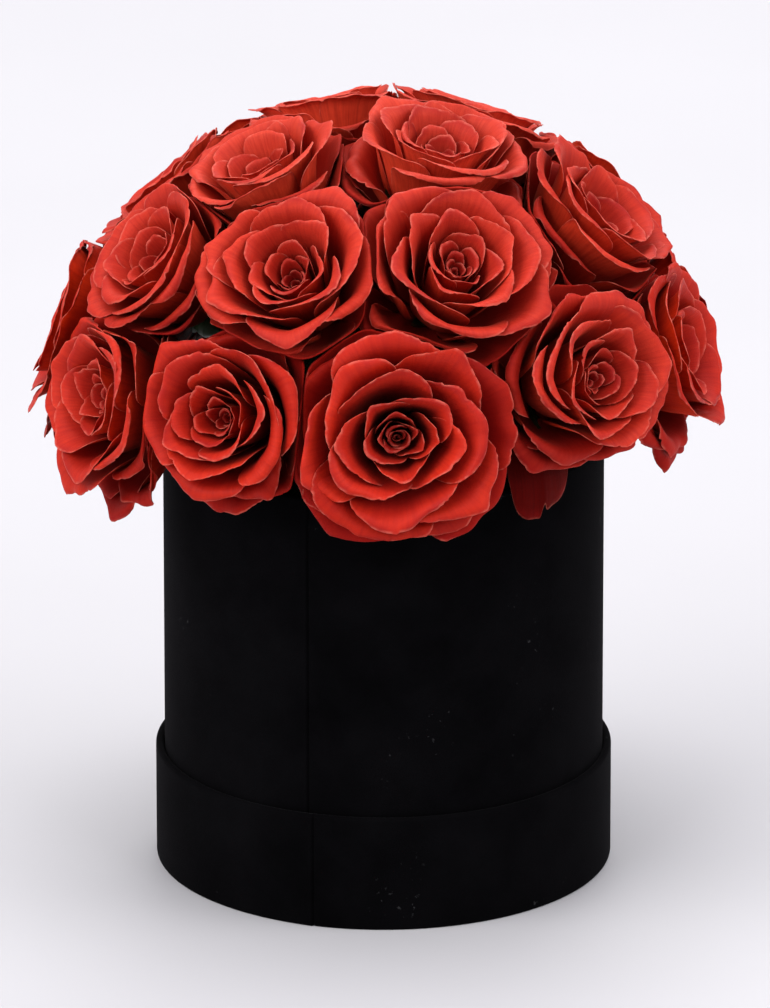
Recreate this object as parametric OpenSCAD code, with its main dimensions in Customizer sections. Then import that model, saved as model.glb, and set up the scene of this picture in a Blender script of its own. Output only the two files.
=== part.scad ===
// Round flower box: a velvet-covered board tube standing in its own upturned lid,
// with a lined foam insert that holds a dome of roses on short stems.
// Frame: +Z up, origin at the centre of the lid's underside, -Y is the front.

/* [Box] */
// Outside diameter of the box over its velvet
box_d = 160; // [120:1:220]
// Height of the box
box_h = 160; // [120:1:240]
// Thickness of the box's rolled board
board_t = 2; // [1.6:0.1:3]
// Thickness of the velvet with its glue
velvet_t = 0.6; // [0.4:0.1:0.8]
// Height of the velvet turned in over the rim
hem_h = 15; // [8:1:25]
// Thickness of the paper lining
lining_t = 0.3; // [0.2:0.1:0.4]
// Width of the velvet turned under the bottom edge
turn_under = 8; // [5:1:15]
// Where the box's velvet seam is, in degrees from the front
seam_turn = -20; // [-180:1:180]

/* [Lid] */
// Height of the lid
lid_h = 43; // [30:1:60]
// Thickness of the lid's board
lid_board_t = 1.6; // [1.4:0.1:2.4]
// Free gap all round between the box and the lid
slide_gap = 0.4; // [0.3:0.1:1]
// Where the lid's velvet seam is, in degrees from the front
lid_seam_turn = -18; // [-180:1:180]

/* [Insert] */
// Free gap all round between the liner and the box's hem
liner_gap = 0.6; // [0.4:0.1:1.5]
// Wall thickness of the waterproof liner
liner_wall = 0.8; // [0.6:0.1:1.5]
// How far the liner's edge sits below the rim
liner_below_rim = 6; // [3:1:15]
// Radius of the foam dome above the rim
foam_dome_r = 62; // [56:1:63]
// Height of the lower foam block
foam_base_h = 88; // [60:1:95]

/* [Roses] */
// Height of the dome's centre above the rim
dome_up = 2.5; // [0:0.5:10]
// Depth of a rose head as a share of its diameter
head_depth = 0.57; // [0.5:0.01:0.6]
// Roundness of a rose's face as a share of its radius
face_round = 0.18; // [0.1:0.01:0.25]
// Solid head diameter as a share of the full spread of its petals, whose tips
// lie over the neighbouring heads
head_fill = 0.88; // [0.8:0.01:0.88]
// Stem diameter
stem_d = 5; // [3:0.5:6]
// Distance from the dome's centre to a stem's cut end
stem_end = 22; // [20:1:35]
// Thickness of a sepal
sepal_t = 0.8; // [0.6:0.1:1]

/* [Hidden] */
$fn = 96;

// Each rose: turn from the front, rise above level, reach of its face from the
// dome's centre, and spread, for a box 160 across. The lower ring, then the
// middle ring, then the four on top, each going round to the left from the front.
ROSES = [
    [3, 16, 122, 80], [-33, 17, 121, 68], [-64, 13, 124, 64], [-95, 19, 126, 64],
    [-124, 17, 122, 66], [-157, 14, 122, 66], [172, 15, 122, 66], [140, 17, 122, 66],
    [107, 13, 122, 66], [77, 18, 124, 66], [46, 21, 122, 68],
    [-26, 46, 122, 65], [-67, 40, 124, 61], [-106, 45, 122, 66], [-149, 42, 122, 68],
    [163, 44, 122, 68], [118, 40, 122, 68], [78, 46, 124, 64], [20, 48, 122, 70],
    [-66, 65, 122, 58], [-150, 70, 121, 62], [133, 67, 121, 62], [45, 75, 122, 64]
];
function rose_name(part, i) = str(part, "_", i < 9 ? "0" : "", i + 1);
ROSE_IDS = [for (i = [0 : len(ROSES) - 1]) i];

// Colours
velvet_colour = "#0c0b0d";
board_colour = "#8d7f6c";
lining_colour = "#1b1a1c";
liner_colour = "#d9dcd8";
foam_colour = "#3f6b3c";
stem_colour = "#56723a";
petal_colour = "#c4261a";

// Small gaps between pieces that are pushed or laid together
foam_play = 0.2;
layer_play = 0.1;
sepal_play = 0.3;

// Radii of the layers, from the box outwards and inwards
box_r = box_d / 2;
tube_out_r = box_r - velvet_t;
tube_in_r = tube_out_r - board_t;
hem_in_r = tube_in_r - velvet_t;
lid_in_r = box_r + slide_gap;
lid_board_in_r = lid_in_r + velvet_t;
lid_board_out_r = lid_board_in_r + lid_board_t;
lid_r = lid_board_out_r + velvet_t;
liner_r = hem_in_r - liner_gap;

// Heights of the layers
lid_board_z = velvet_t;
lid_lining_z = lid_board_z + lid_board_t;
box_z = lid_lining_z + lining_t;
rim_z = box_z + box_h;
box_board_z = box_z + velvet_t;
box_lining_z = box_board_z + board_t;
liner_z = box_lining_z + lining_t;
foam_z = liner_z + liner_wall;
foam_split_z = foam_z + foam_base_h;
foam_shoulder_z = rim_z - dome_up;
dome_z = rim_z + dome_up;

// Everything in the dome grows with the box
size_k = box_d / 160;
foam_r = liner_r - liner_wall - foam_play;
foam_ball_r = foam_dome_r * size_k;
foam_bore_r = stem_d / 2 + 0.1;
hip_r = stem_d * 1.1;
hip_h = 9;
slit_w = 0.4;
cut_margin = 1;
reach_margin = 10;
BACK_STEPS = 8;
tiny = 0.01;

// The dimensions of one rose
function spread_r(i) = ROSES[i][3] * size_k * head_fill / 2;
function face_at(i) = ROSES[i][2] * size_k;
function depth_of(i) = ROSES[i][3] * size_k * head_depth;
function base_at(i) = face_at(i) - depth_of(i);
function neck_r(i) = 0.16 * spread_r(i);
function widest_at(i) = depth_of(i) - face_round * spread_r(i);

// Radius and height on the back of a rose's head, for t from 0 at the neck to 1
// at the widest part. It bulges like the outer petals do.
function back_point(i, t) =
    [neck_r(i) + (spread_r(i) - neck_r(i)) * pow(t, 0.6), widest_at(i) * t];
function shifted(points, by) = [for (p = points) p + by];
function reversed(points) = [for (k = [len(points) - 1 : -1 : 0]) points[k]];

// Puts children at the dome's centre with +Z along a rose's stem.
module along_rose(i) {
    translate([0, 0, dome_z]) rotate([90 - ROSES[i][1], 0, ROSES[i][0]]) children();
}

// A disc between two heights.
module disc(r, low, high) {
    translate([0, 0, low]) cylinder(h = high - low, r = r);
}

// Half section of a wall with a rounded top edge, from the axis outwards.
module wall_section(in_r, out_r, low, high) {
    edge_r = (out_r - in_r) / 2;
    translate([in_r, low]) square([out_r - in_r, high - edge_r - low]);
    translate([in_r + edge_r, high - edge_r]) circle(r = edge_r, $fn = 48);
}

// Fabric glued round a wall: up the outside, over the rim, down inside as a hem,
// and under the bottom edge, with a butt seam down the whole height.
module wrap(in_r, out_r, low, high, under_r, turn) {
    difference() {
        rotate_extrude() difference() {
            union() {
                wall_section(in_r, out_r, low, high);
                translate([under_r, low]) square([out_r - under_r - tiny, velvet_t]);
            }
            wall_section(in_r + velvet_t, out_r - velvet_t, low + velvet_t, high - velvet_t);
            hem_z = high - (out_r - in_r) / 2 - hem_h;
            translate([in_r - cut_margin, low + velvet_t])
                square([velvet_t + cut_margin, hem_z - low - velvet_t]);
        }
        rotate([0, 0, turn]) translate([-slit_w / 2, -out_r - cut_margin, low - cut_margin])
            cube([slit_w, out_r - under_r + 2 * cut_margin, high - low + 2 * cut_margin]);
    }
}

// A paper lining: a floor and a side up to the hem.
module lining(r, low, high) {
    rotate_extrude() {
        translate([0, low]) square([r, lining_t]);
        translate([r - lining_t, low]) square([lining_t, high - low]);
    }
}

module lid_side_board() {
    color(board_colour) rotate_extrude()
        wall_section(lid_board_in_r, lid_board_out_r, lid_board_z, lid_h - velvet_t);
}

module lid_base_board() {
    color(board_colour) disc(lid_board_in_r - layer_play, lid_board_z, lid_lining_z);
}

module lid_side_velvet() {
    color(velvet_colour) wrap(lid_in_r, lid_r, 0, lid_h, lid_r - turn_under, lid_seam_turn);
}

module lid_base_velvet() {
    color(velvet_colour) disc(lid_r - turn_under - layer_play, 0, velvet_t);
}

module lid_lining() {
    hem_z = lid_h - (lid_r - lid_in_r) / 2 - hem_h;
    color(lining_colour) lining(lid_board_in_r, lid_lining_z, hem_z);
}

module box_tube_board() {
    color(board_colour) rotate_extrude()
        wall_section(tube_in_r, tube_out_r, box_board_z, rim_z - velvet_t);
}

module box_base_board() {
    color(board_colour) disc(tube_in_r - layer_play, box_board_z, box_lining_z);
}

module box_side_velvet() {
    color(velvet_colour) wrap(hem_in_r, box_r, box_z, rim_z, box_r - turn_under, seam_turn);
}

module box_base_cover() {
    color(lining_colour) disc(box_r - turn_under - layer_play, box_z, box_board_z);
}

module box_lining() {
    hem_z = rim_z - (box_r - hem_in_r) / 2 - hem_h;
    color(lining_colour) lining(tube_in_r, box_lining_z, hem_z);
}

module liner_pot() {
    color(liner_colour) difference() {
        disc(liner_r, liner_z, rim_z - liner_below_rim);
        disc(liner_r - liner_wall, foam_z, rim_z);
    }
}

module foam_base() {
    color(foam_colour) disc(foam_r, foam_z, foam_split_z);
}

module foam_top() {
    color(foam_colour) difference() {
        union() {
            disc(foam_r, foam_split_z, foam_shoulder_z);
            intersection() {
                translate([0, 0, dome_z]) sphere(r = foam_ball_r);
                disc(foam_r, foam_split_z, dome_z + foam_ball_r + reach_margin);
            }
        }
        for (i = ROSE_IDS) along_rose(i)
            disc(foam_bore_r, stem_end - tiny, foam_ball_r + reach_margin);
    }
}

// A stem from its cut end in the foam to the hip under the rose.
module stem(i) {
    top = base_at(i) - sepal_t;
    r = stem_d / 2;
    color(stem_colour) along_rose(i) rotate_extrude()
        polygon([[0, stem_end], [r, stem_end], [r, top - hip_h], [hip_r, top - hip_h / 2],
                 [hip_r, top - hip_h / 4], [neck_r(i), top], [0, top]]);
}

// The five sepals under a rose, laid against the backs of its outer petals.
module calyx(i) {
    reach = 0.62 * spread_r(i);
    inside = [for (t = [1 : 5]) back_point(i, t / BACK_STEPS) + [sepal_play, 0]];
    under = concat([[neck_r(i), 0]], inside);
    along_rose(i) translate([0, 0, base_at(i)]) intersection() {
        rotate_extrude() polygon(concat([[0, 0]], under,
            reversed(shifted(under, [sepal_t, -sepal_t])), [[0, -sepal_t]]));
        translate([0, 0, -reach_margin]) linear_extrude(reach_margin * 4)
            polygon([for (k = [0 : 9]) (k % 2 == 0 ? reach : neck_r(i) * 1.25)
                     * [cos(36 * k), sin(36 * k)]]);
    }
}

module sepals() {
    color(stem_colour) for (i = ROSE_IDS) calyx(i);
}

// A rose's head as a plain closed solid: a bulging back and a low round face.
module bloom(i) {
    r = spread_r(i);
    back = [for (t = [0 : BACK_STEPS]) back_point(i, t / BACK_STEPS)];
    face = [for (a = [15 : 15 : 90]) [r * cos(a), widest_at(i) + face_round * r * sin(a)]];
    color(petal_colour) along_rose(i) translate([0, 0, base_at(i)])
        rotate_extrude() polygon(concat([[0, 0]], back, face));
}

lid_side_board();
lid_base_board();
lid_side_velvet();
lid_base_velvet();
lid_lining();
box_tube_board();
box_base_board();
box_side_velvet();
box_base_cover();
box_lining();
liner_pot();
foam_base();
foam_top();
sepals();
for (i = ROSE_IDS) stem(i);
for (i = ROSE_IDS) bloom(i);
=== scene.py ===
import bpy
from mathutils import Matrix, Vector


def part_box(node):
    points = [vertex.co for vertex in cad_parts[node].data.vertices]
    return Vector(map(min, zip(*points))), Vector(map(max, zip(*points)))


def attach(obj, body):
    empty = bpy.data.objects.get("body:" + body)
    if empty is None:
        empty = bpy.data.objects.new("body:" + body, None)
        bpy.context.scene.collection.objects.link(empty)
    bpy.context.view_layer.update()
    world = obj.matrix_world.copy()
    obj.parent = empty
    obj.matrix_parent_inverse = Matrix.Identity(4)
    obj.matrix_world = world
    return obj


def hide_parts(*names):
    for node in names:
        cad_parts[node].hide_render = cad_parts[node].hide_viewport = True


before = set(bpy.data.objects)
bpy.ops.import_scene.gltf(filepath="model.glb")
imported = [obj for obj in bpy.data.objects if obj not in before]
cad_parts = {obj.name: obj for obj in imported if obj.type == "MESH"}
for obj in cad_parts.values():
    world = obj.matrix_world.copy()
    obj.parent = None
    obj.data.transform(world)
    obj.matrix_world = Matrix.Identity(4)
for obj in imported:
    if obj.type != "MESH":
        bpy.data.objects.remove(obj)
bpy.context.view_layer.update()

import math

import bpy
import numpy as np
from mathutils import Vector

MM = 0.001
ROSE_COUNT = sum(name.startswith("bloom_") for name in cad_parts)


# ---------------------------------------------------------------- measures from the frame

def vertices_of(node):
    """The vertices of a CAD node, as an array."""
    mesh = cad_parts[node].data
    points = np.zeros(len(mesh.vertices) * 3)
    mesh.vertices.foreach_get("co", points)
    return points.reshape(-1, 3)


def unit(v):
    return v / np.linalg.norm(v)


def rose_of(number):
    """Where a rose's head is: its axis along its stem, its neck, spread and depth."""
    stem = vertices_of(f"stem_{number:02d}")
    bloom = vertices_of(f"bloom_{number:02d}")
    middle = (stem.min(0) + stem.max(0)) / 2
    directions = np.linalg.svd(stem - stem.mean(0), full_matrices=False)[2]
    axis = directions[0] * np.sign(directions[0] @ (bloom.mean(0) - middle))
    on_axis = stem.mean(0) - axis * (stem.mean(0) @ axis)
    height = bloom @ axis
    away = bloom - on_axis - np.outer(height, axis)
    return {
        "axis": axis,
        "neck": on_axis + axis * height.min(),
        "spread": np.linalg.norm(away, axis=1).max(),
        "depth": height.max() - height.min(),
    }


ROSES = [rose_of(i + 1) for i in range(ROSE_COUNT)]


def meeting_point(roses):
    """The point nearest to every rose's axis, which is the dome's centre."""
    total, right = np.zeros((3, 3)), np.zeros(3)
    for rose in roses:
        across = np.eye(3) - np.outer(rose["axis"], rose["axis"])
        total += across
        right += across @ rose["neck"]
    return np.linalg.solve(total, right)


DOME = meeting_point(ROSES)


# ---------------------------------------------------------------- camera, light and floor

LENS = 417.6  # long, and far off, so that upright lines stay upright
CAMERA_AT = (0.0, -4.0, 1.560)
CAMERA_AIM = (0.0005, 0, 0.1335)
CAMERA_REACH = 200

# name, place, height above the origin of the point aimed at, size, power, colour
LIGHTS = (
    ("key", (-3.8, -1.7, 3.0), 0.15, 3.6, 120, (1, 0.985, 0.96)),
    ("right", (3.6, -0.9, 2.8), 0.15, 3.0, 68, (1, 0.985, 0.98)),
    ("top", (-0.2, 0.4, 4.6), 0.2, 3.0, 78, (1, 0.98, 0.98)),
    ("back", (0.6, 3.6, 3.6), 0.2, 2.6, 60, (1, 0.99, 0.98)),
    ("front_left", (-2.6, -3.6, 2.8), 0.15, 1.8, 46, (0.98, 0.98, 1)),
    ("front_right", (2.8, -3.3, 2.8), 0.15, 1.8, 38, (0.98, 0.98, 1)),
)
TENT_COLOUR = (0.97, 0.965, 1.0, 1)
TENT_LOW, TENT_HIGH = 0.42, 1.00  # the tent's strength at the horizon and overhead
FLOOR_SIZE = 60


def make_camera():
    """Looks down a little on the front of the box."""
    data = bpy.data.cameras.new("camera")
    camera = bpy.data.objects.new("camera", data)
    bpy.context.scene.collection.objects.link(camera)
    data.lens = LENS
    data.clip_end = CAMERA_REACH
    camera.location = CAMERA_AT
    aim = Vector(CAMERA_AIM)
    camera.rotation_euler = (aim - camera.location).to_track_quat("-Z", "Y").to_euler()
    bpy.context.scene.camera = camera


def make_light(name, place, aim_height, size, power, colour):
    """A round lamp aimed at a point above the origin."""
    data = bpy.data.lights.new(name, "AREA")
    data.shape = "DISK"
    data.size = size
    data.energy = power
    data.color = colour
    light = bpy.data.objects.new(name, data)
    light.location = place
    towards = Vector((0, 0, aim_height)) - Vector(place)
    light.rotation_euler = towards.to_track_quat("-Z", "Y").to_euler()
    bpy.context.scene.collection.objects.link(light)


class Shader:
    """Builds a node material. Inputs are numbers, colours, or another node's output."""

    def __init__(self, name):
        self.material = bpy.data.materials.new(name)
        self.material.use_nodes = True
        self.tree = self.material.node_tree
        self.tree.nodes.clear()

    def add(self, kind, inputs=None, **settings):
        made = self.tree.nodes.new(kind)
        for key, value in settings.items():
            setattr(made, key, value)
        for key, value in (inputs or {}).items():
            if isinstance(value, bpy.types.NodeSocket):
                self.tree.links.new(value, made.inputs[key])
            else:
                made.inputs[key].default_value = value
        return made

    def attribute(self, name):
        return self.add("ShaderNodeAttribute", attribute_name=name).outputs["Fac"]

    def math(self, operation, a, b=0.0):
        return self.add("ShaderNodeMath", {0: a, 1: b}, operation=operation).outputs[0]

    def noise(self, vector, scale, detail=3.0, roughness=0.5):
        inputs = {"Vector": vector, "Scale": scale, "Detail": detail, "Roughness": roughness}
        return self.add("ShaderNodeTexNoise", inputs).outputs["Fac"]

    def ramp(self, value, stops):
        """stops: (position, colour or grey level), ..."""
        made = self.add("ShaderNodeValToRGB", {"Fac": value})
        while len(made.color_ramp.elements) < len(stops):
            made.color_ramp.elements.new(0.5)
        for element, (place, colour) in zip(made.color_ramp.elements, stops):
            element.position = place
            element.color = (*colour, 1) if isinstance(colour, tuple) else (colour,) * 3 + (1,)
        return made.outputs["Color"]

    def mix(self, amount, a, b, blend="MIX"):
        made = self.add("ShaderNodeMix", data_type="RGBA", blend_type=blend)
        for socket, value in ((made.inputs[0], amount), (made.inputs[6], a), (made.inputs[7], b)):
            if isinstance(value, bpy.types.NodeSocket):
                self.tree.links.new(value, socket)
            else:
                socket.default_value = (*value, 1) if isinstance(value, tuple) else value
        return made.outputs[2]

    def place(self):
        return self.add("ShaderNodeTexCoord").outputs["Object"]

    def finish(self, principled, bump=None, strength=0.3, distance=0.0005):
        """Ends with a Principled shader with these inputs, and a bump if given."""
        if bump is not None:
            inputs = {"Height": bump, "Strength": strength, "Distance": distance}
            principled["Normal"] = self.add("ShaderNodeBump", inputs).outputs["Normal"]
        shader = self.add("ShaderNodeBsdfPrincipled", principled)
        out = self.add("ShaderNodeOutputMaterial")
        self.tree.links.new(shader.outputs[0], out.inputs["Surface"])
        return self.material


def floor_material():
    s = Shader("floor_paper")
    clouds = s.noise(s.place(), 3.0)
    colour = s.ramp(clouds, [(0.3, (0.52, 0.515, 0.54)), (0.7, (0.54, 0.535, 0.56))])
    return s.finish({"Base Color": colour, "Roughness": 0.6, "Specular IOR Level": 0.2})


def make_stage():
    """A pale floor in a studio tent, with its lamps."""
    scene = bpy.context.scene
    scene.view_settings.view_transform = "Standard"
    world = bpy.data.worlds.new("studio")
    scene.world = world
    world.use_nodes = True
    nodes, links = world.node_tree.nodes, world.node_tree.links
    background = nodes["Background"]
    background.inputs["Color"].default_value = TENT_COLOUR
    # a tent that is brighter overhead
    height = nodes.new("ShaderNodeSeparateXYZ")
    rise = nodes.new("ShaderNodeMapRange")
    rise.inputs["From Min"].default_value = 0
    rise.inputs["To Min"].default_value = TENT_LOW
    rise.inputs["To Max"].default_value = TENT_HIGH
    links.new(nodes.new("ShaderNodeTexCoord").outputs["Generated"], height.inputs[0])
    links.new(height.outputs["Z"], rise.inputs["Value"])
    links.new(rise.outputs["Result"], background.inputs["Strength"])
    for light in LIGHTS:
        make_light(*light)
    bpy.ops.mesh.primitive_plane_add(size=FLOOR_SIZE)
    floor = bpy.context.object
    floor.name = "floor"
    floor.data.materials.append(floor_material())


# ---------------------------------------------------------------- mesh building

def make_mesh(name, points, faces, attributes=None, material=None):
    """One object from arrays of points and faces, with a float attribute for each name."""
    mesh = bpy.data.meshes.new(name)
    mesh.from_pydata(points.tolist(), [], faces)
    mesh.validate()
    mesh.polygons.foreach_set("use_smooth", [True] * len(mesh.polygons))
    for key, values in (attributes or {}).items():
        made = mesh.attributes.new(key, "FLOAT", "POINT")
        made.data.foreach_set("value", np.asarray(values, np.float32))
    if material:
        mesh.materials.append(material)
    mesh.update()
    made = bpy.data.objects.new(name, mesh)
    bpy.context.scene.collection.objects.link(made)
    return made


def grid_faces(rows, columns, closed=False):
    """Quads of a grid of points stored row by row. closed joins it up both ways."""
    faces = []
    for i in range(rows if closed else rows - 1):
        j = (i + 1) % rows
        for k in range(columns if closed else columns - 1):
            n = (k + 1) % columns
            faces.append((i * columns + k, j * columns + k, j * columns + n, i * columns + n))
    return faces


_sheet_faces = {}  # made once for each size of grid


def sheet_faces(rows, columns):
    """Faces of a closed thin sheet: its front, its back, and the strip round its edge."""
    if (rows, columns) not in _sheet_faces:
        front = np.array(grid_faces(rows, columns))
        count = rows * columns
        back = front[:, ::-1] + count
        ring = (list(range(columns))
                + [i * columns + columns - 1 for i in range(1, rows)]
                + [(rows - 1) * columns + k for k in range(columns - 2, -1, -1)]
                + [i * columns for i in range(rows - 2, 0, -1)])
        edge = [(a, b, b + count, a + count) for a, b in zip(ring, ring[1:] + ring[:1])]
        _sheet_faces[rows, columns] = np.vstack([front, back, np.array(edge)])
    return _sheet_faces[rows, columns]


def grid_normals(p):
    """Unit normals of a grid of points."""
    along = np.gradient(p, axis=1)
    across = np.gradient(p, axis=0)
    n = np.cross(across, along)
    return n / np.maximum(np.linalg.norm(n, axis=2, keepdims=True), 1e-12)


# ---------------------------------------------------------------- roses

# full petals reach this much past the plain head that stands in for them
PETAL_SPREAD = 1.15
# roses by number: larger or smaller than that, and how far the petals on a rose's
# lower side reach
GROWTH = {1: 0.95, 2: 0.94, 3: 1.06, 4: 1.18,
          10: 0.98, 17: 1.05, 18: 1.04, 22: 1.06}
LOWER_PETALS = {1: 0.90, 2: 0.84, 3: 1.04, 4: 1.10,
                5: 1.10, 6: 1.08, 10: 1.04, 11: 0.74}
# roses given more painted light than their height gives them: their petals are painted lighter
# still
EXTRA_PAINTED_LIGHT = {3: 0.10, 11: 0.30, 13: 0.12}

# what petal_plan lays out, from the heart outwards
HEART_PETALS = 6
WHORLS, WHORL_PETALS = 6, 3
GUARDS, DROOPING, COLLARS = 5, 3, 7
PETAL_TURN = math.radians(137.5)  # from one petal to the next
HEART_END = 0.14  # cups below this are small, and get the coarse grid of points
FINE_GRID, COARSE_GRID = (48, 24), (36, 16)

POINTED_FROM, POINTED_SHARE = 0.16, 0.8  # petals with a pointed tip, from this cup on
ROLLED_SHARE = 0.75  # petals whose margin is rolled back
LOWER_SOFT = 6 * MM  # over this length below the neck the lower side's reach sets in
RIM_T, EXTRA_T = 0.22, 0.25  # mm: a petal's thickness at its margin, and what it gains
RIM_WIDTH = 0.25             # over this share of the rose's spread


def smooth_noise(rng, u, waves, amount):
    """A smooth random curve over u from -1 to 1."""
    total = np.zeros_like(u)
    for k in range(1, waves + 1):
        wave = np.sin(k * math.pi * (u * 0.8 + rng.uniform(-1, 1)))
        total += wave * rng.uniform(0.4, 1) / k ** 0.7
    return total * amount


def wall_point(s, q, lip_reach, hollow, height):
    """A point (radius, height) and its slope on nested cup s, at q from base to crest.

    Lengths are shares of the rose's spread. s is 0 at the heart and 1 outside."""
    # the crests make a dome with a hollow heart
    crest_r = np.maximum(s - lip_reach, 0.6 * s)
    crest_z = (0.99 - hollow * np.exp(-(s / 0.38) ** 2) - 0.12 * s ** 4) * height
    crest_z = crest_z - 0.8 * hollow * np.exp(-(s / 0.11) ** 2)
    base_r = 0.02 + 0.10 * s
    base_z = 0.10 * (1 - s)
    lean = np.radians(1 + 44 * s ** 1.1)
    rise = crest_z - base_z
    # a cubic curve that starts almost flat and reaches the crest with this lean
    p0 = (base_r, base_z)
    p1 = (base_r + (crest_r - base_r) * (0.72 - 0.10 * s), base_z + 0.10 * rise)
    p2 = (crest_r - 0.45 * rise * np.sin(lean), crest_z - 0.45 * rise * np.cos(lean))
    p3 = (crest_r, crest_z)
    w0, w1, w2, w3 = (1 - q) ** 3, 3 * q * (1 - q) ** 2, 3 * q * q * (1 - q), q ** 3
    r, z = (p0[i] * w0 + p1[i] * w1 + p2[i] * w2 + p3[i] * w3 for i in (0, 1))
    return r, z, lean


def bend(r, z, start, curvature, length):
    """Goes on from (r, z) along an arc of this curvature; angles are from the axis."""
    end = start + curvature * length
    r = r + (np.cos(start) - np.cos(end)) / curvature
    z = z + (np.sin(end) - np.sin(start)) / curvature
    return r, z, end


def petal_shape(rng, s, u, pointed):
    """The petal's length at each u as a share of its length at the tip, how far each
    u is from the tip, and where the tip is."""
    tip = rng.uniform(-0.3, 0.3)
    away = np.abs(u - tip)
    if pointed:
        length = 1 - rng.uniform(0.08, 0.17) * away ** rng.uniform(1.1, 1.5)
    else:
        drop = rng.uniform(0.08, 0.16) * min(1, 0.25 + 2 * s)
        length = 1 - drop * away ** rng.uniform(1.8, 2.6)
    length = length * (0.35 + 0.65 * np.clip(1 - np.abs(u) ** 7, 0, 1) ** 0.5)
    length = length + smooth_noise(rng, u, 7, 0.0015 + 0.008 * s)
    for _ in range(rng.integers(0, 3)):
        notch = np.exp(-((u - rng.uniform(-0.8, 0.8)) / rng.uniform(0.012, 0.04)) ** 2)
        length = length - rng.uniform(0.01, 0.035) * s * notch
    return length + rng.normal(0, 0.0005 + 0.003 * s, u.shape), away, tip


def petal(rng, s, turn, half, hollow, rows, columns, droop, height):
    """One petal as a grid of points in the rose's own space, and at each point u, v
    and how far the margin is.

    u goes across from -1 to 1 and v along from 0 at the base to 1 at the margin.
    s is the petal's cup, turn its direction, half its half width in radians, droop
    is in degrees, and height is a share of the rose's own."""
    u = np.linspace(-1, 1, rows)[:, None]
    t = np.linspace(0, 1, columns)[None, :]
    v = 1 - (1 - t) ** 1.6
    pointed = s > POINTED_FROM and rng.uniform() < POINTED_SHARE
    shape, away, tip = petal_shape(rng, s, u, pointed)
    rolled = rng.uniform() < ROLLED_SHARE
    # the blade goes up the wall of its cup, then bows out over the lip; where it is
    # rolled, the last of it turns back in a tighter curve
    lip = 0.035 + 0.20 * s
    flare = np.radians(22 + 36 * s + rng.uniform(-20, 20) + droop)
    reach = lip * 0.85 * np.sin(np.radians(20 + 35 * s))
    side = rng.choice([-1, 1])
    cup = s * (1 + rng.uniform(-0.03, 0.03)) + (0.010 + rng.uniform(0.02, 0.09) * s) * u * side
    cup = np.clip(cup * (1.05 if pointed else 1.0), 0.004, 1.22)
    wall_length = 0.95 * (0.35 + 0.65 * height)
    total = wall_length + lip
    arc = v * shape * total
    r, z, start = wall_point(cup, np.clip(arc / wall_length, 0, 1), reach, hollow, height)
    beyond = np.clip(arc - wall_length, 0, None)
    soft = lip * (0.56 if rolled else 2.0)
    first = np.minimum(beyond, soft)
    bow = flare / lip * (1 + smooth_noise(rng, u, 3, 0.16))
    r, z, middle = bend(r, z, start, bow, first)
    flank = 0.35 + 1.1 * np.clip(away / 0.5, 0, 1) if pointed else 1.0
    tight = np.radians(rng.uniform(80, 165)) / (lip * 0.5) * flank
    tight = tight * (1 + smooth_noise(rng, u, 4, 0.15))
    r, z, _ = bend(r, z, middle, tight, beyond - first)
    # the margin waves, a faint crease runs to the tip, and the blade is a little uneven
    wave = smooth_noise(rng, u, 8, 0.001 + 0.026 * s) * v ** 5
    wave = wave + smooth_noise(rng, u, 15, 0.008 * s) * v ** 7
    crease = 0.010 * s * np.exp(-(away / 0.07) ** 2) * v ** 3
    dent = smooth_noise(rng, u, 3, 0.010 * (0.3 + s)) * np.sin(math.pi * v)
    r = r + wave * 0.8 + crease + dent
    z = z + wave * 0.7
    # the base is half as wide as the blade
    width = 0.5 + 0.5 * np.sin(0.5 * math.pi * np.clip(v / 0.5, 0, 1))
    spread = half * u * width
    # seen along the axis the margin is part of a polygon with a blunt corner at the tip
    corners = rng.uniform(4.6, 6.0)
    from_tip = np.sqrt((spread - half * tip * width) ** 2 + 0.015) - 0.08
    from_tip = np.minimum(from_tip, 2 * math.pi / corners)
    straight = math.cos(math.pi / corners) / np.cos(from_tip - math.pi / corners)
    share = rng.uniform(0.45, 0.85) if pointed else rng.uniform(0.1, 0.4)
    r = r * (1 + (straight - 1) * share * v ** 2)
    phi = turn + spread + rng.uniform(-0.10, 0.10) * v
    r = np.maximum(r, 0.005)
    points = np.stack([r * np.cos(phi), r * np.sin(phi), z + 0 * phi], axis=2)
    margin = np.minimum((1 - v) * shape * total, (1 - np.abs(u)) * half * r / 0.9 + 0.05)
    return points, u + 0 * v, v + 0 * u, margin


def petal_plan(rng):
    """(cup, half width, droop in degrees, height) of each petal from the heart outwards."""
    plan = [(0.012 + 0.020 * k, 2.4 - 0.10 * k, 0, 1) for k in range(HEART_PETALS)]
    for w in range(WHORLS):
        for k in range(WHORL_PETALS):
            t = (w + k / WHORL_PETALS) / WHORLS
            plan.append((0.13 + 0.78 * t ** 1.42 + rng.uniform(-0.02, 0.02) * (0.4 + t),
                         1.42 - 0.36 * t + rng.uniform(-0.12, 0.12), 0, 1))
    plan += [(0.90 + 0.03 * k, 0.88 + rng.uniform(-0.08, 0.08), rng.uniform(0, 26), 1)
             for k in range(GUARDS)]
    plan += [(1.04, 0.80, rng.uniform(10, 50), rng.uniform(0.66, 0.8)) for _ in range(DROOPING)]
    plan += [(1.16, 0.90, rng.uniform(0, 20), rng.uniform(0.42, 0.64)) for _ in range(COLLARS)]
    return plan


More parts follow.
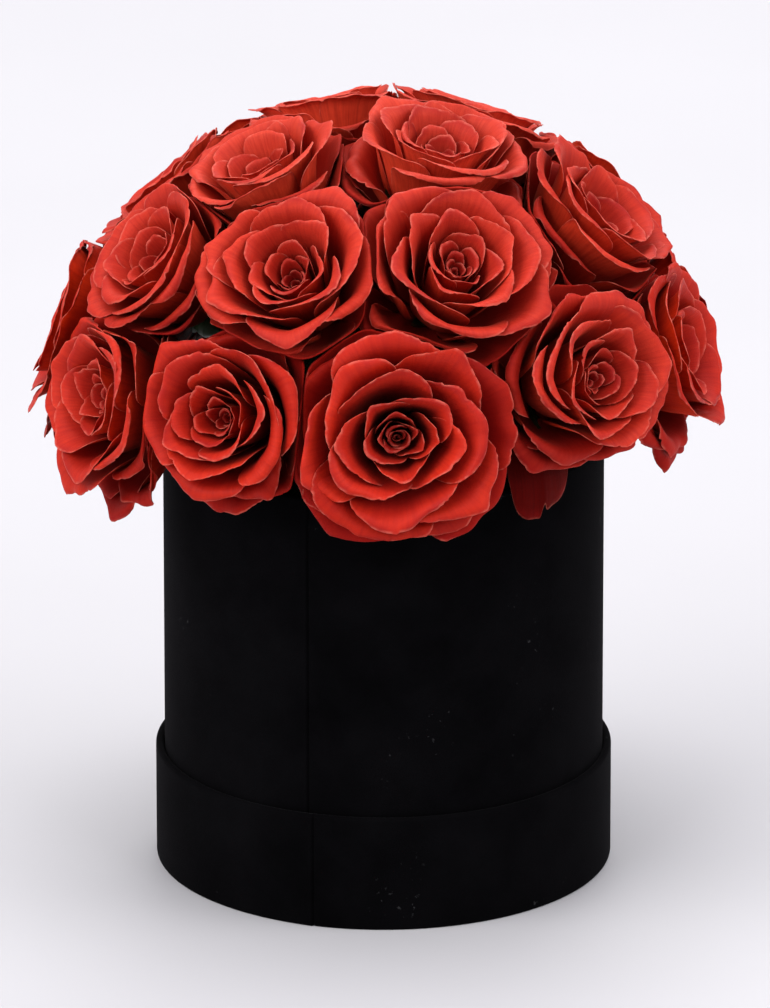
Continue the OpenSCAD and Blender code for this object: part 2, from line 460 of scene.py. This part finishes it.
def rose_points(index, rose):
    """All petals of one rose: points in the frame, faces and attributes."""
    rng = np.random.default_rng(1000 + 17 * index)
    scale = rose["spread"] * PETAL_SPREAD * GROWTH.get(index + 1, 1)
    lower = LOWER_PETALS.get(index + 1, 1)
    stretch = rose["depth"] / (scale * 1.06)
    turn = rng.uniform(0, 2 * math.pi)
    heart_shift = rng.uniform(-0.04, 0.04, 2) * scale
    squash_turn = rng.uniform(0, math.pi)
    squash = rng.uniform(0.0, 0.22)
    hollow = rng.uniform(0.20, 0.40)
    # painted light: the further up a rose faces, the lighter its petals are painted, as if lit from
    # above
    lift = np.clip((rose["axis"][2] - 0.25) / 0.65, 0, 1) ** 2.5  # the higher, the paler
    lift = min(1, lift + EXTRA_PAINTED_LIGHT.get(index + 1, 0))
    axis = rose["axis"]
    side = unit(np.cross(axis, (0.3, 0.2, 1.0)))
    other = np.cross(axis, side)
    basis = np.stack([side, other, axis])
    down = unit(axis * axis[2] - (0, 0, 1))
    all_points, all_faces, values, count = [], [], {}, 0
    for s, half, droop, height in petal_plan(rng):
        rows, columns = FINE_GRID if s > HEART_END else COARSE_GRID
        p, u, v, margin = petal(rng, s, turn, half, hollow, rows, columns, droop, height)
        p *= scale
        turn += PETAL_TURN + rng.uniform(-0.16, 0.16)
        p[:, :, 2] *= stretch
        # the heart sits a little off centre and the inner cups are a little oval
        c, d = math.cos(squash_turn), math.sin(squash_turn)
        along = p[:, :, 0] * c + p[:, :, 1] * d
        p[:, :, 0] += along * c * squash * (1 - s) + heart_shift[0] * (1 - s)
        p[:, :, 1] += along * d * squash * (1 - s) + heart_shift[1] * (1 - s)
        world = p @ basis + rose["neck"]
        # what is below the neck is pulled in or let out
        below = LOWER_SOFT * np.logaddexp(0, (world - rose["neck"]) @ down / LOWER_SOFT)
        world -= (1 - lower) * below[..., None] * down
        world = keep_apart(index, world)
        n = grid_normals(world)
        thick = (RIM_T + EXTRA_T * np.clip(margin / RIM_WIDTH, 0, 1))[:, :, None] * MM
        back = world - n * thick
        all_points += [world.reshape(-1, 3), back.reshape(-1, 3)]
        all_faces.append(sheet_faces(rows, columns) + count)
        count += 2 * rows * columns
        shade = rng.uniform(0, 1)
        for key, value in (("across", u), ("along", v), ("margin", margin)):
            values.setdefault(key, []).extend([value.ravel()] * 2)
        for key, value in (("lift", lift), ("whorl", s), ("petal", shade)):
            values.setdefault(key, []).append(np.full(2 * rows * columns, value))
        values.setdefault("reverse", []).append(np.repeat([0.0, 1.0], rows * columns))
    attributes = {key: np.concatenate(value) for key, value in values.items()}
    return np.vstack(all_points), np.vstack(all_faces), attributes


NEIGHBOUR = 1.6  # roses further apart than this many times both their sizes don't meet
BORDER_LEAN = (12, 24)  # degrees
BORDER_GAP = 0.3 * MM  # left free on each side of a border
BORDER_SOFT = 1.8 * MM  # petals start to bend this near to a border
BORDER_RISE = 0.35  # a pressed petal also moves this share of the way up
PRESSED_MOST = 12 * MM  # what is pressed back further rises no more


def border_planes():
    """For each rose, the planes that part it from its neighbours.

    A plane leans a little over one of the two roses, so that the petals of one lie
    over the other's. Each entry is the plane's normal and how far it is from DOME."""
    planes = [[] for _ in ROSES]
    size = [math.atan2(r["spread"], (r["neck"] - DOME) @ r["axis"] + r["depth"] * 0.8)
            for r in ROSES]
    for i, a in enumerate(ROSES):
        for j, b in enumerate(ROSES):
            gap = math.acos(np.clip(a["axis"] @ b["axis"], -1, 1))
            if i >= j or gap > NEIGHBOUR * (size[i] + size[j]):
                continue
            rng = np.random.default_rng(97 * i + j)
            towards = unit(b["axis"] - a["axis"] * (a["axis"] @ b["axis"]))
            share = gap * size[i] / (size[i] + size[j])
            outward = a["axis"] * math.cos(share) + towards * math.sin(share)
            normal = towards * math.cos(share) - a["axis"] * math.sin(share)
            height = (a["neck"] - DOME) @ a["axis"] + a["depth"] * 0.75
            lean = math.radians(rng.uniform(*BORDER_LEAN)) * rng.choice([-1, 1])
            normal = normal * math.cos(lean) + outward * math.sin(lean)
            point = outward * height
            planes[i].append((normal, point @ normal - BORDER_GAP))
            planes[j].append((-normal, -(point @ normal) - BORDER_GAP))
    return planes


PLANES = border_planes()


def keep_apart(index, points):
    """Presses petals that would reach into a neighbouring rose back to the border."""
    out = points.copy()
    axis = ROSES[index]["axis"]
    for normal, over in PLANES[index]:
        d = (out - DOME) @ normal
        kept = over - BORDER_SOFT * np.logaddexp(0, (over - d) / BORDER_SOFT)
        out += (kept - d)[..., None] * normal
        lift = np.clip(d - kept, 0, PRESSED_MOST) * BORDER_RISE
        out += lift[..., None] * (axis - normal * (axis @ normal))
    return out


def petal_material():
    """Red petals with painted shade, dark at the base, in the heart and on the outer collars, and a
    painted highlight along the pale edge.
    """
    s = Shader("rose_petal")
    along, margin, across = s.attribute("along"), s.attribute("margin"), s.attribute("across")
    petal_tone, reverse = s.attribute("petal"), s.attribute("reverse")
    place = s.place()
    # painted shade: each petal is painted dark at its base, deep in the cups where shade falls, and
    # bright towards its lit margin
    depth = s.ramp(along, [(0.0, (0.05, 0.0, 0.0)), (0.55, (0.22, 0.004, 0.002)),
                           (0.75, (0.46, 0.015, 0.003)), (0.92, (0.68, 0.030, 0.003)),
                           (1.0, (0.76, 0.036, 0.004))])
    # painted light: the lighter colours for roses that face up, mixed in by lift
    pale = s.ramp(along, [(0.0, (0.60, 0.030, 0.012)), (0.50, (0.82, 0.066, 0.026)),
                          (0.75, (0.84, 0.080, 0.032)), (1.0, (0.82, 0.092, 0.044))])
    depth = s.mix(s.attribute("lift"), depth, pale)
    tone = s.ramp(petal_tone, [(0.0, (0.82, 0.72, 0.72)), (1.0, (1.0, 1.0, 1.0))])
    colour = s.mix(1.0, depth, tone, "MULTIPLY")
    whorl = s.math("MULTIPLY", s.attribute("whorl"), 0.8)
    # painted shade: the heart's cups are painted darker, and so are the outermost low petals that
    # lie deep between the roses
    heart = s.ramp(whorl, [(0.0, (0.26, 0.16, 0.16)), (0.09, (0.46, 0.36, 0.36)),
                           (0.24, (0.86, 0.8, 0.8)), (0.4, (1.0, 1.0, 1.0)),
                           (0.78, (1.0, 1.0, 1.0)), (0.86, (0.5, 0.42, 0.42))])
    colour = s.mix(1.0, colour, heart, "MULTIPLY")
    vein_place = s.add("ShaderNodeCombineXYZ", {0: s.math("MULTIPLY", across, 22.0),
                                               1: s.math("MULTIPLY", along, 3.0),
                                               2: s.math("MULTIPLY", petal_tone, 50.0)}).outputs[0]
    veins = s.noise(vein_place, 1.0, 4.0, 0.6)
    streaks = s.ramp(veins, [(0.35, (0.80, 0.66, 0.66)), (0.62, (1.0, 1.0, 1.0))])
    colour = s.mix(1.0, colour, streaks, "MULTIPLY")
    mottle = s.ramp(s.noise(place, 220.0, 4.0), [(0.3, (0.88, 0.76, 0.76)), (0.7, (1.0, 1.0, 1.0))])
    colour = s.mix(1.0, colour, mottle, "MULTIPLY")
    fine = s.noise(place, 2600.0, 2.0)
    # a dry, darker border in places, then a painted highlight: a pale line along the margin, broken
    # up by noise
    dry = s.math("MULTIPLY", s.ramp(margin, [(0.0, 1.0), (0.03, 1.0), (0.10, 0.0)]),
                 s.ramp(s.noise(place, 60.0, 3.0), [(0.45, 0.0), (0.65, 0.7)]))
    colour = s.mix(dry, colour, (0.26, 0.006, 0.006))
    # painted highlight: pale where the margin is thinnest
    edge = s.ramp(margin, [(0.0, 1.0), (0.012, 0.6), (0.03, 0.0)])
    highlight_breaks = s.ramp(s.noise(place, 330.0, 2.0), [(0.42, 0.15), (0.6, 1.0)])
    tear_and_edge_highlight = s.math("MULTIPLY", edge, s.math("MULTIPLY", highlight_breaks, 0.75))
    colour = s.mix(tear_and_edge_highlight, colour, (0.80, 0.20, 0.14))
    colour = s.mix(s.math("MULTIPLY", reverse, 0.4), colour, (0.36, 0.010, 0.012))
    height = s.math("ADD", s.math("MULTIPLY", veins, 0.6), s.math("MULTIPLY", fine, 0.3))
    rough = s.ramp(fine, [(0.3, 0.50), (0.7, 0.64)])
    gloss = s.ramp(whorl, [(0.0, 0.08), (0.4, 0.13), (0.78, 0.13), (0.86, 0.03)])
    return s.finish({"Base Color": colour, "Roughness": rough, "Specular IOR Level": gloss,
                     "Sheen Weight": 0.05, "Sheen Roughness": 0.4,
                     "Sheen Tint": (1.0, 0.3, 0.18, 1)}, height, 0.35, 0.0006)


def bezier(points, t):
    """Points on a cubic curve with these four control points, for an array t."""
    t = t[..., None]
    a, b, c, d = (np.asarray(p, float) for p in points)
    return a * (1 - t) ** 3 + b * 3 * t * (1 - t) ** 2 + c * 3 * t * t * (1 - t) + d * t ** 3


HANGING_GRID = (100, 36)
HANGING_TURN = math.radians(38.0)  # from the front, to the right
HANGING_PATH = [(56, 188), (86, 194), (96, 174), (90, 154)]  # (radius, height) in mm
HANGING_T = 0.4 * MM
HANGING_RADIUS = 85 * MM  # what it bends round


def make_hanging_petal(material):
    """A loose outer petal that hangs over the rim at the right of the front. Its right
    part tore off short."""
    rng = np.random.default_rng(77)
    rows, columns = HANGING_GRID
    u = np.linspace(-1, 1, rows)[:, None]
    v = np.linspace(0, 1, columns)[None, :]
    # a step where it tore, with a notch beside it, and rounded corners
    tear_and_edge_highlight = 0.045 / (1 + np.exp(-(u + 0.16) / 0.012)) + 0.05 * np.exp(-((u + 0.10) / 0.05) ** 2)
    length = 0.975 - 0.05 * (u + 0.35) ** 2 - 0.25 * np.clip(u - 0.35, 0, 1) ** 2
    length = length - tear_and_edge_highlight + smooth_noise(rng, u, 7, 0.006)
    length = length * (0.6 + 0.4 * np.clip(1 - np.abs(u) ** 7, 0, 1) ** 0.5)
    path = bezier(HANGING_PATH, v * length) * MM
    half = (4 + 9 * np.sin(np.clip(v / 0.6, 0, 1) * math.pi / 2)) * MM
    cupped = (1 - u ** 2) * 3.0 * MM * v
    ripple = smooth_noise(rng, u, 5, 0.5 * MM) * v
    r = path[..., 0] + cupped + ripple
    turn = HANGING_TURN + u * half / HANGING_RADIUS
    p = np.stack([r * np.sin(turn), -r * np.cos(turn), path[..., 1] + 0 * r], axis=2)
    n = grid_normals(p)
    both = np.concatenate([p.reshape(-1, 3), (p - n * HANGING_T).reshape(-1, 3)])
    ones = np.ones((rows, columns))
    # painted shade: whorl 1.10 and the low along values below paint this petal dark red, as if in
    # the roses' shade; the margin starting at 0.018 keeps its painted edge highlight faint
    margin = (0.018 + np.minimum((1 - v), (1 - np.abs(u)) * 0.4)) * ones
    attributes = {"across": u * ones, "along": (0.16 + 0.38 * v) * ones, "margin": margin,
                  "petal": 0.2 * ones, "whorl": 1.10 * ones, "lift": 0 * ones}
    attributes = {key: np.tile(value.ravel(), 2) for key, value in attributes.items()}
    attributes["reverse"] = np.zeros(2 * rows * columns)
    faces = sheet_faces(rows, columns).tolist()
    piece = make_mesh("hanging_petal", both, faces, attributes, material)
    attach(piece, "arrangement")


def make_roses():
    """A rose in the place of each plain head, and the one loose petal."""
    material = petal_material()
    make_hanging_petal(material)
    for index, rose in enumerate(ROSES):
        points, faces, attributes = rose_points(index, rose)
        name = f"rose_{index + 1:02d}"
        piece = make_mesh(name, points, faces.tolist(), attributes, material)
        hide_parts(f"bloom_{index + 1:02d}")
        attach(piece, "arrangement")


# ---------------------------------------------------------------- velvet, board and the inside

def velvet_material():
    """Black pile that hardly shines, with a little lint."""
    s = Shader("black_velvet")
    place = s.place()
    cloud = s.noise(place, 26.0, 4.0, 0.6)
    pile = s.noise(place, 1500.0, 3.0, 0.7)
    colour = s.ramp(cloud, [(0.3, (0.0010, 0.0009, 0.0012)), (0.75, (0.0030, 0.0028, 0.0034))])
    # lint: pale specks in a few scattered clusters
    speck = s.ramp(s.noise(place, 520.0, 2.0, 0.6), [(0.66, 0.0), (0.72, 1.0)])
    cluster = s.ramp(s.noise(place, 42.0, 2.0, 0.5), [(0.62, 0.0), (0.68, 1.0)])
    lint = s.math("MULTIPLY", speck, cluster)
    colour = s.mix(s.math("MULTIPLY", lint, 0.8), colour, (0.030, 0.030, 0.032))
    return s.finish({"Base Color": colour, "Roughness": 0.95, "Specular IOR Level": 0.02,
                     "Sheen Weight": 0.022, "Sheen Roughness": 0.35,
                     "Sheen Tint": (0.75, 0.72, 0.8, 1)}, pile, 0.5, 0.0003)


VELVET_T = 0.6 * MM
HEM_H = 15 * MM
TURN_UNDER = 8 * MM
UNEVEN, UNEVEN_WAVES = 0.10 * MM, 9  # how far the velvet is from truly round
WRAP_STEPS = 240  # round the wall
SEAM_HALF, SEAM_STEPS = 4, 41  # mm each side of the seam, with closer steps
BOX_SEAM, LID_SEAM = -20, -18  # degrees from the front, to the right


def wrap_section(low, high, in_r, out_r):
    """Closed section of fabric glued round a wall, and 1 for each point on its outside.

    It starts under the bottom edge, goes up the outside, over the rim, down to the
    end of the hem, and back along the board."""
    def path(r_in, r_out, bottom, corner, steps):
        top = (r_out - r_in) / 2
        wall = np.linspace(bottom + corner, high - (out_r - in_r) / 2, steps)
        hem = np.linspace(wall[-1], wall[-1] - HEM_H, 8)
        turn = np.linspace(0, math.pi / 2, 5)
        over = np.linspace(0, math.pi, 15)[1:-1]
        middle = r_out - top
        return ([(out_r - TURN_UNDER, bottom), (out_r - TURN_UNDER / 2, bottom)]
                + [(r_out - corner + corner * math.sin(a), bottom + corner - corner * math.cos(a))
                   for a in turn[:-1]]
                + [(r_out, z) for z in wall]
                + [(middle + top * math.cos(a), wall[-1] + top * math.sin(a)) for a in over]
                + [(r_in, z) for z in hem])
    outside = path(in_r, out_r, low, 0.9 * MM, 40)
    inside = path(in_r + VELVET_T, out_r - VELVET_T, low + VELVET_T, 0.4 * MM, 10)
    section = np.array(outside + inside[::-1])
    shown = np.array([1.0] * len(outside) + [0.0] * len(inside))
    return section, shown


def seam_relief(x):
    """Height of a lapped seam at x along the wall, in metres, with its step at 0."""
    # the upper layer rises towards its edge, a ridge with a groove beside it
    lap = 0.30 * MM * np.exp(np.minimum(x, 0) / (7 * MM)) * (x < 0)
    ridge = 0.16 * MM * np.exp(-((x + 0.7 * MM) / (0.5 * MM)) ** 2)
    groove = -0.50 * MM * np.exp(-((x - 0.35 * MM) / (0.35 * MM)) ** 2)
    return lap + ridge + groove


def make_wrap(name, node, body, seam_turn, material, seed):
    """The velvet round a wall, in the place of its CAD node, with a lapped seam."""
    low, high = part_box(node)
    points = vertices_of(node)
    out_r = (high.x - low.x) / 2
    radii = np.hypot(points[:, 0], points[:, 1])
    on_wall = radii[np.abs(points[:, 2] - (high.z - HEM_H / 2)) < HEM_H]
    section, shown = wrap_section(low.z, high.z, on_wall.min(), out_r)
    seam = math.radians(seam_turn)
    even = np.linspace(-math.pi, math.pi, WRAP_STEPS + 1)[:-1]
    close = np.linspace(-SEAM_HALF, SEAM_HALF, SEAM_STEPS) * MM / out_r
    turns = np.unique(np.round(np.concatenate([even, close]), 6))
    rng = np.random.default_rng(seed)
    relief = seam_relief(turns * out_r)[:, None] * shown[None, :]
    soft = np.zeros((len(turns), len(section)))
    for _ in range(UNEVEN_WAVES):
        k, m = rng.integers(1, 9), rng.uniform(10, 60)
        wave = np.sin(k * turns[:, None] + m * section[None, :, 1] + rng.uniform(0, 6.3))
        soft += wave / UNEVEN_WAVES
    r = section[None, :, 0] + relief + soft * UNEVEN * shown[None, :]
    # the hem lies flat on the inside of the wall
    inner = section[:, 0] < on_wall.min() + 0.3 * (out_r - on_wall.min())
    r = np.where(inner[None, :], section[None, :, 0], r)
    # azimuth from the front (-Y), positive to the right
    turn = turns[:, None] + seam
    p = np.stack([r * np.sin(turn), -r * np.cos(turn), section[None, :, 1] + 0 * r], axis=2)
    faces = grid_faces(*p.shape[:2], closed=True)
    piece = make_mesh(name, p.reshape(-1, 3), faces, material=material)
    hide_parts(node)
    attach(piece, body)


def grained_material(name, low, high, scale, rough, bump, distance):
    """Two tones of one colour, mixed by a fine grain that also makes the relief."""
    s = Shader(name)
    grain = s.noise(s.place(), scale, 5.0, 0.6)
    return s.finish({"Base Color": s.ramp(grain, [(0.3, low), (0.7, high)]), "Roughness": rough},
                    grain, bump, distance)


def foam_material():
    """Green floral foam: open cells painted darker inside as painted shade, a few crumbled spots,
    dusty and matt; its green is painted very dark.
    """
    s = Shader("floral_foam")
    place = s.place()
    cells = s.add("ShaderNodeTexVoronoi", {"Vector": place, "Scale": 900.0}).outputs["Distance"]
    crumbs = s.noise(place, 160.0, 5.0, 0.65)
    # the dark green of soaked foam, made darker still as painted shade for the gaps between the
    # roses
    colour = s.ramp(crumbs, [(0.3, (0.006, 0.016, 0.007)), (0.7, (0.014, 0.034, 0.013))])
    # painted shade: darker in the open cells
    painted_cell_shade = s.ramp(cells, [(0.0, (0.35, 0.35, 0.35)), (0.5, (1.0, 1.0, 1.0))])
    colour = s.mix(1.0, colour, painted_cell_shade, "MULTIPLY")
    relief = s.math("ADD", cells, s.math("MULTIPLY", crumbs, 2.0))
    return s.finish({"Base Color": colour, "Roughness": 1.0, "Specular IOR Level": 0.05},
                    relief, 0.9, 0.0012)


def film_material():
    """Black plastic film with soft upright creases."""
    s = Shader("liner_film")
    place = s.place()
    squeezed = s.add("ShaderNodeMapping", {"Vector": place, "Scale": (1.0, 1.0, 0.25)}).outputs[0]
    creases = s.noise(squeezed, 60.0, 3.0, 0.55)
    haze = s.noise(place, 25.0, 4.0, 0.6)
    colour = s.ramp(haze, [(0.3, (0.018, 0.019, 0.019)), (0.7, (0.036, 0.038, 0.038))])
    rough = s.ramp(haze, [(0.3, 0.24), (0.7, 0.42)])
    return s.finish({"Base Color": colour, "Roughness": rough}, creases, 0.6, 0.003)


def stem_material():
    """Rose green, darker and redder in patches, with fine lines along the grain."""
    s = Shader("green_stem")
    place = s.place()
    patch = s.noise(place, 90.0, 3.0, 0.5)
    fine = s.noise(place, 900.0, 3.0, 0.6)
    colour = s.ramp(patch, [(0.35, (0.012, 0.026, 0.005)), (0.55, (0.024, 0.045, 0.010)),
                            (0.75, (0.045, 0.040, 0.012))])
    lines = s.ramp(fine, [(0.3, (0.75, 0.75, 0.75)), (0.7, (1.0, 1.0, 1.0))])
    colour = s.mix(1.0, colour, lines, "MULTIPLY")
    return s.finish({"Base Color": colour, "Roughness": 0.5, "Specular IOR Level": 0.3},
                    fine, 0.25, 0.0004)


def dress_cad():
    """The two wraps, and a material on every CAD node."""
    velvet = velvet_material()
    board = grained_material("greyboard", (0.30, 0.25, 0.19), (0.42, 0.36, 0.28),
                             scale=500, rough=0.9, bump=0.3, distance=0.0003)
    paper = grained_material("black_paper", (0.012, 0.012, 0.013), (0.020, 0.020, 0.022),
                             scale=700, rough=0.8, bump=0.2, distance=0.0002)
    film, foam, green = film_material(), foam_material(), stem_material()
    make_wrap("box_velvet", "box_side_velvet", "box", BOX_SEAM, velvet, 5)
    make_wrap("lid_velvet", "lid_side_velvet", "lid", LID_SEAM, velvet, 6)
    for name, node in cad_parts.items():
        if "velvet" in name:
            chosen = velvet
        elif "board" in name:
            chosen = board
        elif "lining" in name or "cover" in name:
            chosen = paper
        elif name == "liner_pot":
            chosen = film
        elif name.startswith("foam"):
            chosen = foam
        else:
            chosen = green
        for material_slot in node.material_slots:
            material_slot.material = chosen


make_camera()
make_stage()
dress_cad()
make_roses()
